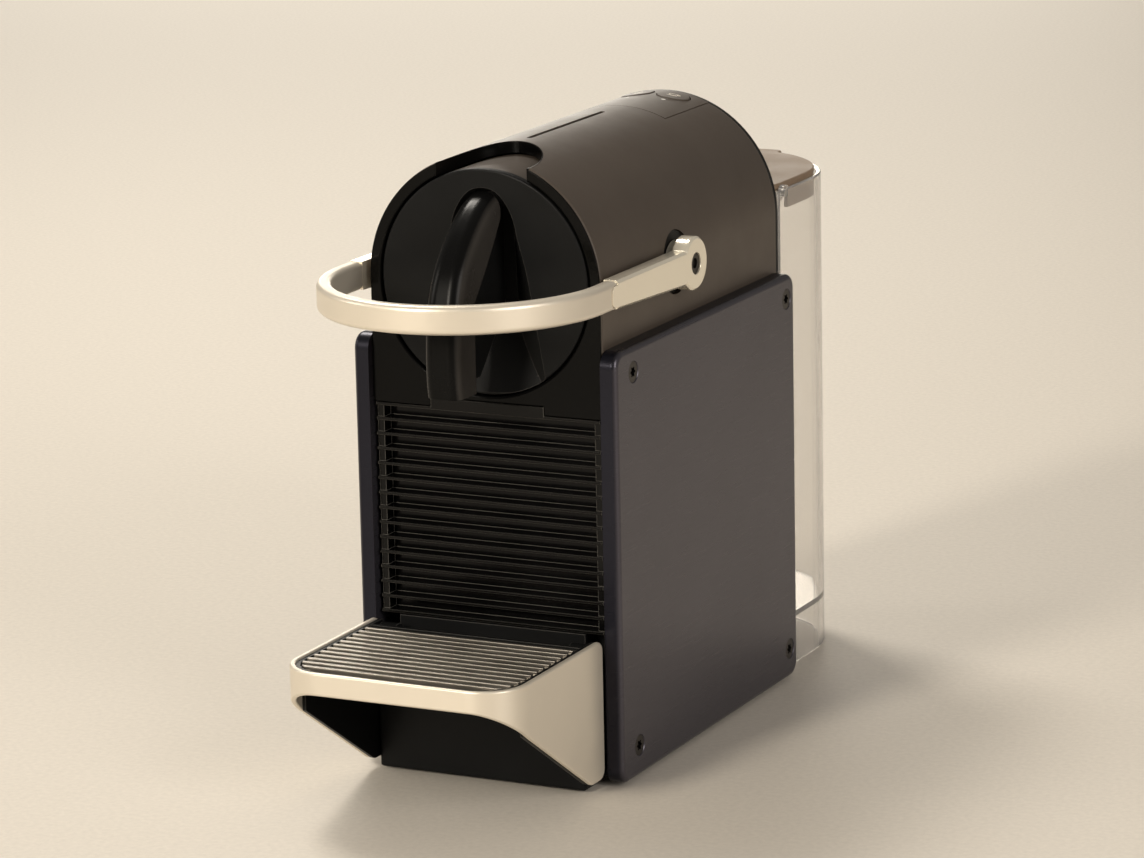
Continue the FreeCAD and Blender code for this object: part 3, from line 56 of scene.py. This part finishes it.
def make_camera():
    """A camera turned left by yaw and down by pitch, then rolled about its own axis."""
    yaw, pitch, roll = (math.radians(a) for a in (CAMERA_YAW, CAMERA_PITCH, CAMERA_ROLL))
    back = Vector((math.sin(yaw) * math.cos(pitch), -math.cos(yaw) * math.cos(pitch), math.sin(pitch)))
    level = Vector((math.cos(yaw), math.sin(yaw), 0))
    up = back.cross(level)
    right = level * math.cos(roll) + up * math.sin(roll)
    up = up * math.cos(roll) - level * math.sin(roll)
    data = bpy.data.cameras.new("camera")
    data.sensor_width = SENSOR_WIDTH
    data.lens = FOCAL_LENGTH / IMAGE_WIDTH * SENSOR_WIDTH
    data.clip_end = 50
    camera = bpy.data.objects.new("camera", data)
    turn = Matrix((right, up, back)).transposed().to_4x4()
    camera.matrix_world = Matrix.Translation(CAMERA_PLACE) @ turn
    scene.collection.objects.link(camera)
    scene.camera = camera


def area_light(name, place, target, size, power, colour):
    """A soft rectangular light that shines at the target; the camera doesn't see it."""
    data = bpy.data.lights.new(name, "AREA")
    data.shape = "RECTANGLE"
    data.size, data.size_y = size
    data.energy = power
    data.color = colour
    light = bpy.data.objects.new(name, data)
    light.location = place
    aim = Vector(target) - Vector(place)
    light.rotation_euler = aim.to_track_quat("-Z", "Y").to_euler()
    light.visible_camera = False
    scene.collection.objects.link(light)


def make_light():
    middle = (0, -0.02, 0.13)
    area_light("key", (-0.60, -2.40, 1.20), middle, (0.42, 0.95), 46, (1.0, 0.92, 0.80))
    area_light("left", (-1.75, -0.75, 0.85), middle, (0.60, 0.80), 6, (1.0, 0.93, 0.84))
    area_light("right", (1.90, -0.90, 0.90), middle, (0.80, 1.20), 20, (1.0, 0.94, 0.88))
    area_light("back", (-1.55, 3.00, 0.55), (0, 0, 0.24), (1.60, 0.90), 20, (1.0, 0.93, 0.82))
    area_light("window", (-0.95, 0.70, 1.70), middle, (0.50, 0.50), 20, (1.0, 0.94, 0.85))
    world = bpy.data.worlds.new("studio")
    world.use_nodes = True
    world.node_tree.nodes["Background"].inputs["Color"].default_value = (0.88, 0.82, 0.74, 1)
    world.node_tree.nodes["Background"].inputs["Strength"].default_value = 0.25
    scene.world = world
    scene.view_settings.view_transform = "Standard"


def make_floor():
    mesh = bpy.data.meshes.new("floor")
    corners = [(x * FLOOR_HALF, y * FLOOR_HALF, 0) for x, y in ((-1, -1), (1, -1), (1, 1), (-1, 1))]
    mesh.from_pydata(corners, [], [(0, 1, 2, 3)])
    floor = bpy.data.objects.new("floor", mesh)
    scene.collection.objects.link(floor)
    mat = Material("floor", (0.67, 0.62, 0.545), 0.60)
    mat.mottle(420, 0.05, detail=6)
    mat.grain(900, 0.00002, 0.3)
    mesh.materials.append(mat.data)


# ---- materials ---------------------------------------------------------------------------------
class Material:
    """A Principled surface whose colour, roughness and bump vary over the object."""

    def __init__(self, name, colour, rough, metal=0.0, **sockets):
        self.data = bpy.data.materials.new(name)
        self.data.use_nodes = True
        self.nodes = self.data.node_tree.nodes
        self.links = self.data.node_tree.links
        self.shader = self.nodes["Principled BSDF"]
        self.colour = (*colour, 1)
        self.rough = rough
        self.set("Base Color", self.colour)
        self.set("Roughness", rough)
        self.set("Metallic", metal)
        for key, value in sockets.items():
            self.set(key.replace("_", " "), value)
        self.place = self.nodes.new("ShaderNodeTexCoord").outputs["Object"]
        self.height = None

    def set(self, socket, value):
        self.shader.inputs[socket].default_value = value

    def stretched(self, scale):
        """Object coordinates, in metres, times a factor on each axis."""
        node = self.nodes.new("ShaderNodeMapping")
        node.inputs["Scale"].default_value = scale
        self.links.new(self.place, node.inputs["Vector"])
        return node.outputs["Vector"]

    def noise(self, scale, detail=4.0, rough=0.55, stretch=None):
        node = self.nodes.new("ShaderNodeTexNoise")
        node.inputs["Scale"].default_value = scale
        node.inputs["Detail"].default_value = detail
        node.inputs["Roughness"].default_value = rough
        self.links.new(self.stretched(stretch) if stretch else self.place, node.inputs["Vector"])
        return node.outputs["Fac"]

    def remap(self, value, low, high, start=0.3, end=0.7):
        node = self.nodes.new("ShaderNodeMapRange")
        node.inputs["From Min"].default_value = start
        node.inputs["From Max"].default_value = end
        node.inputs["To Min"].default_value = low
        node.inputs["To Max"].default_value = high
        self.links.new(value, node.inputs["Value"])
        return node.outputs["Result"]

    def mottle(self, scale, amount, detail=3.0, stretch=None):
        """Soft lighter and darker patches in the colour."""
        ramp = self.nodes.new("ShaderNodeValToRGB")
        ends = ramp.color_ramp.elements
        ends[0].position, ends[1].position = 0.3, 0.7
        for end, factor in ((ends[0], 1 - amount), (ends[1], 1 + amount)):
            end.color = [min(1, c * factor) for c in self.colour[:3]] + [1]
        self.links.new(self.noise(scale, detail, stretch=stretch), ramp.inputs["Fac"])
        self.links.new(ramp.outputs["Color"], self.shader.inputs["Base Color"])
        return self

    def smudge(self, scale, amount, stretch=None):
        """Uneven gloss, as from handling and cleaning."""
        low, high = max(0.02, self.rough - amount), min(1, self.rough + amount)
        value = self.remap(self.noise(scale, 5, 0.6, stretch), low, high)
        self.links.new(value, self.shader.inputs["Roughness"])
        return self

    def paint_facing_light(self, painted_tone, low=0.4, high=0.8):
        """Painted light and shade: a colour multiplied in by how far a face looks along x, none at low,
        all of it at high, so that faces turned one way look lit or shaded.
        """
        normal = self.nodes.new("ShaderNodeSeparateXYZ")
        self.links.new(self.nodes.new("ShaderNodeNewGeometry").outputs["Normal"], normal.inputs[0])
        size = self.nodes.new("ShaderNodeMath")
        size.operation = "ABSOLUTE"
        self.links.new(normal.outputs["X"], size.inputs[0])
        mix = self.nodes.new("ShaderNodeMix")
        mix.data_type = "RGBA"
        mix.blend_type = "MULTIPLY"
        self.links.new(self.remap(size.outputs[0], 0, 1, low, high), mix.inputs["Factor"])
        self.links.new(self.shader.inputs["Base Color"].links[0].from_socket, mix.inputs["A"])
        mix.inputs["B"].default_value = (*painted_tone, 1)
        self.links.new(mix.outputs["Result"], self.shader.inputs["Base Color"])
        return self

    def soft_edges(self, radius):
        """Rounds the look of sharp edges over a radius in metres."""
        bevel = self.nodes.new("ShaderNodeBevel")
        bevel.samples = 4
        bevel.inputs["Radius"].default_value = radius
        self.height = bevel.outputs["Normal"]
        return self

    def paint_edge_highlight(self, colour, low=0.985, high=0.90):
        """Painted highlight: a lighter colour where soft_edges turns the surface, along moulded edges,
        standing in for light caught on them.
        """
        turn = self.nodes.new("ShaderNodeVectorMath")
        turn.operation = "DOT_PRODUCT"
        self.links.new(self.height, turn.inputs[0])
        self.links.new(self.nodes.new("ShaderNodeNewGeometry").outputs["Normal"], turn.inputs[1])
        mix = self.nodes.new("ShaderNodeMix")
        mix.data_type = "RGBA"
        self.links.new(self.remap(turn.outputs["Value"], 0, 1, low, high), mix.inputs["Factor"])
        self.links.new(self.shader.inputs["Base Color"].links[0].from_socket, mix.inputs["A"])
        mix.inputs["B"].default_value = (*colour, 1)
        self.links.new(mix.outputs["Result"], self.shader.inputs["Base Color"])
        return self

    def grain(self, scale, depth, strength=1.0, stretch=None, detail=2.0):
        """Fine relief; depth in metres. Further calls add to the same surface."""
        bump = self.nodes.new("ShaderNodeBump")
        bump.inputs["Strength"].default_value = strength
        bump.inputs["Distance"].default_value = depth
        self.links.new(self.noise(scale, detail, 0.5, stretch), bump.inputs["Height"])
        if self.height is not None:
            self.links.new(self.height, bump.inputs["Normal"])
        self.height = bump.outputs["Normal"]
        self.links.new(self.height, self.shader.inputs["Normal"])
        return self


def make_materials():
    """Each finish under its slot's name, with the outlet cover's own gloss and painted shade, and the
    print. Some finishes carry painted light by facing and painted edge highlights.
    """
    return {
        "brown_plastic": Material("brown_plastic", (0.068, 0.053, 0.041), 0.44, Specular_IOR_Level=0.45)
            .mottle(25, 0.06).smudge(60, 0.04).grain(5200, 0.00002, 0.3),
        "black_gloss": Material("black_gloss", (0.0018, 0.0018, 0.0017), 0.18, Specular_IOR_Level=0.10)
            .mottle(40, 0.15).smudge(45, 0.04).soft_edges(0.0005).grain(260, 0.00001, 0.2),
        "cover_gloss_painted_shade": Material("cover_gloss_painted_shade", (0.034, 0.031, 0.028), 0.26, Specular_IOR_Level=0.10)
            # painted shade: the cover's forward-looking faces are multiplied darker than its sides,
            # which stand in for lit faces
            .mottle(40, 0.15).paint_facing_light((0.10, 0.11, 0.12), 0.85, 0.6)
            .smudge(45, 0.04).soft_edges(0.0004).grain(260, 0.00001, 0.2),
        "rib_gloss": Material("rib_gloss", (0.0018, 0.0017, 0.0016), 0.17, Specular_IOR_Level=0.17)
            # painted highlight: a lighter colour along the ribs' edges, standing in for light caught on
            # them
            .mottle(40, 0.15).smudge(45, 0.04).soft_edges(0.0004).paint_edge_highlight((0.17, 0.16, 0.142))
            .grain(900, 0.00001, 0.15),
        "black_satin": Material("black_satin", (0.0068, 0.0070, 0.0071), 0.38, Specular_IOR_Level=0.11)
            .mottle(40, 0.15).smudge(60, 0.05).soft_edges(0.0004)
            # painted highlight: a lighter colour along this finish's edges, standing in for light
            # caught on the disc rim and frame edges
            .paint_edge_highlight((0.10, 0.095, 0.088)).grain(4600, 0.00002, 0.3),
        "grey_plastic": Material("grey_plastic", (0.30, 0.30, 0.29), 0.45)
            .mottle(30, 0.06).smudge(60, 0.05).grain(3800, 0.00002, 0.3),
        "blue_aluminium": Material("blue_aluminium", (0.013, 0.013, 0.021), 0.30, 0.70)
            # painted light: the panel's flanks, facing along x, are multiplied lighter than its dark
            # front edges
            .mottle(18, 0.05).paint_facing_light((6.2, 5.8, 4.3), 0.2, 0.9)
            .smudge(1, 0.04, (60, 60, 3500)).grain(1, 0.000006, 0.4, (30, 30, 5200)),
        "champagne": Material("champagne", (0.78, 0.715, 0.605), 0.38, 0.55)
            .mottle(20, 0.03).smudge(80, 0.04).grain(6500, 0.00001, 0.25),
        "chrome": Material("chrome", (1.0, 0.92, 0.77), 0.16, 0.60)
            .mottle(30, 0.02).smudge(70, 0.03).soft_edges(0.0004).grain(200, 0.000006, 0.15),
        "steel": Material("steel", (0.50, 0.49, 0.47), 0.28, 1.0)
            .mottle(60, 0.06).smudge(90, 0.06).grain(1500, 0.00001, 0.2),
        "dark_steel": Material("dark_steel", (0.06, 0.055, 0.052), 0.34, 1.0)
            .mottle(80, 0.1).smudge(200, 0.08).grain(2500, 0.00001, 0.3),
        "grid_metal": Material("grid_metal", (0.30, 0.275, 0.24), 0.36, 0.9)
            .mottle(60, 0.06).smudge(120, 0.05).soft_edges(0.0004).grain(2500, 0.000008, 0.2),
        "cast_aluminium": Material("cast_aluminium", (0.50, 0.50, 0.50), 0.48, 1.0)
            .mottle(70, 0.08).smudge(120, 0.08).grain(900, 0.00006, 0.5),
        "rubber": Material("rubber", (0.020, 0.019, 0.018), 0.72)
            .mottle(60, 0.15).smudge(90, 0.06).grain(2500, 0.00003, 0.5),
        "silicone": Material("silicone", (0.62, 0.58, 0.52), 0.40, 0.0, Subsurface_Weight=0.15)
            .mottle(50, 0.05).smudge(90, 0.05).grain(1800, 0.00001, 0.3),
        "clear_plastic": Material("clear_plastic", (1.0, 0.985, 0.965), 0.04,
                                  Transmission_Weight=0.88, IOR=1.25)
            .smudge(50, 0.015).grain(60, 0.00001, 0.15),
        "tan_plastic": Material("tan_plastic", (0.24, 0.172, 0.116), 0.48, Specular_IOR_Level=0.25)
            .mottle(25, 0.05).smudge(60, 0.05).grain(5000, 0.00002, 0.3),
        "light_plastic": Material("light_plastic", (0.80, 0.78, 0.74), 0.30)
            .mottle(80, 0.03).smudge(90, 0.05).grain(2500, 0.00001, 0.2),
        "print": Material("print", (0.72, 0.66, 0.56), 0.45)
            .mottle(900, 0.05).smudge(400, 0.06).grain(4000, 0.000004, 0.2),
        "board": Material("board", (0.02, 0.11, 0.05), 0.30)
            .mottle(220, 0.2).smudge(180, 0.08).grain(1400, 0.00003, 0.4),
        "coil": Material("coil", (0.26, 0.10, 0.04), 0.34, 0.6)
            .mottle(100, 0.15).smudge(90, 0.06).grain(1, 0.0002, 0.7, (20, 20, 1600)),
    }


def dress(obj, mat):
    obj.data.materials.clear()
    obj.data.materials.append(mat.data)


# ---- printed cups on the buttons ----------------------------------------------------------------
PRINT_THICK = 0.06 * MM
STROKE_WIDTH = 0.34 * MM
SAUCER_GAP = 0.32 * MM
CAP_PROUD = 0.35 * MM               # a button's cap stands this far out of the hood
LEFT_CUP = 2.7 * MM
RIGHT_CUP = 3.5 * MM


def arc_points(centre, radii, start, end, count):
    """Points along an elliptic arc between two angles in degrees."""
    points = []
    for i in range(count + 1):
        angle = math.radians(start + (end - start) * i / count)
        points.append((centre[0] + radii[0] * math.cos(angle), centre[1] + radii[1] * math.sin(angle)))
    return points


def ribbon_edges(points, width):
    """Left and right edges of a stroke of that width along the points."""
    left, right = [], []
    for i, (x, y) in enumerate(points):
        before = points[max(0, i - 1)]
        after = points[min(len(points) - 1, i + 1)]
        dx, dy = after[0] - before[0], after[1] - before[1]
        reach = width / 2 / math.hypot(dx, dy)
        left.append((x - dy * reach, y + dx * reach))
        right.append((x + dy * reach, y - dx * reach))
    return left, right


def lay_stroke(bm, points, width, height_at):
    """A thin closed strip of print along the points, lying on the surface height_at(x, y)."""
    left, right = ribbon_edges(points, width)
    rings = []
    for (lx, ly), (rx, ry) in zip(left, right):
        corners = [(lx, ly, -1), (rx, ry, -1), (rx, ry, 1), (lx, ly, 1)]
        rings.append([bm.verts.new((x, y, height_at(x, y) + PRINT_THICK * side / 2))
                      for x, y, side in corners])
    for a, b in zip(rings, rings[1:]):
        for i in range(4):
            j = (i + 1) % 4
            bm.faces.new((a[i], a[j], b[j], b[i]))
    bm.faces.new(rings[0][::-1])
    bm.faces.new(rings[-1])


def make_cup_print(name, node, body, size):
    """A plain outlined cup on a button: bowl, rim, handle and saucer. Size is the cup's width."""
    low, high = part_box(node)
    centre_x = (low[0] + high[0]) / 2
    centre_y = (low[1] + high[1]) / 2
    hood_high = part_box("hood")[1]
    hood_r = hood_high[0]
    axis_z = hood_high[2] - hood_r
    cap_r = hood_r + CAP_PROUD

    def height_at(x, y):
        return axis_z + math.sqrt(cap_r ** 2 - x ** 2)

    half = size / 2
    depth = 0.72 * size
    top = centre_y + depth / 2
    foot = arc_points((centre_x, top - 0.35 * depth), (half, 0.65 * depth), 180, 360, 20)
    bowl = [(centre_x - half, top)] + foot + [(centre_x + half, top)]
    rim = [(centre_x - half, top), (centre_x, top), (centre_x + half, top)]
    handle_place = (centre_x + half, top - 0.36 * depth)
    handle = arc_points(handle_place, (0.30 * size, 0.24 * depth), 90, -90, 10)
    saucer_y = top - depth - SAUCER_GAP
    reach = 0.62 * size
    saucer = [(centre_x - reach, saucer_y), (centre_x, saucer_y), (centre_x + reach, saucer_y)]
    bm = bmesh.new()
    for stroke in (bowl, rim, handle, saucer):
        lay_stroke(bm, stroke, STROKE_WIDTH, height_at)
    bmesh.ops.recalc_face_normals(bm, faces=bm.faces)
    mesh = bpy.data.meshes.new(name)
    bm.to_mesh(mesh)
    bm.free()
    piece = bpy.data.objects.new(name, mesh)
    scene.collection.objects.link(piece)
    dress(piece, finish_of["print"])
    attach(piece, body)


# ---- the scene ----------------------------------------------------------------------------------
make_camera()
make_light()
make_floor()
finish_of = make_materials()
for part in frame["record"]["subparts"]:
    dress(nodes[part["node"]], finish_of[part["material_slot"]])
# the outlet cover gets its own gloss with painted shade on its forward faces
dress(nodes["outlet_cover"], finish_of["cover_gloss_painted_shade"])
make_cup_print("cup_print_left", "button_left", "button_left", LEFT_CUP)
make_cup_print("cup_print_right", "button_right", "button_right", RIGHT_CUP)
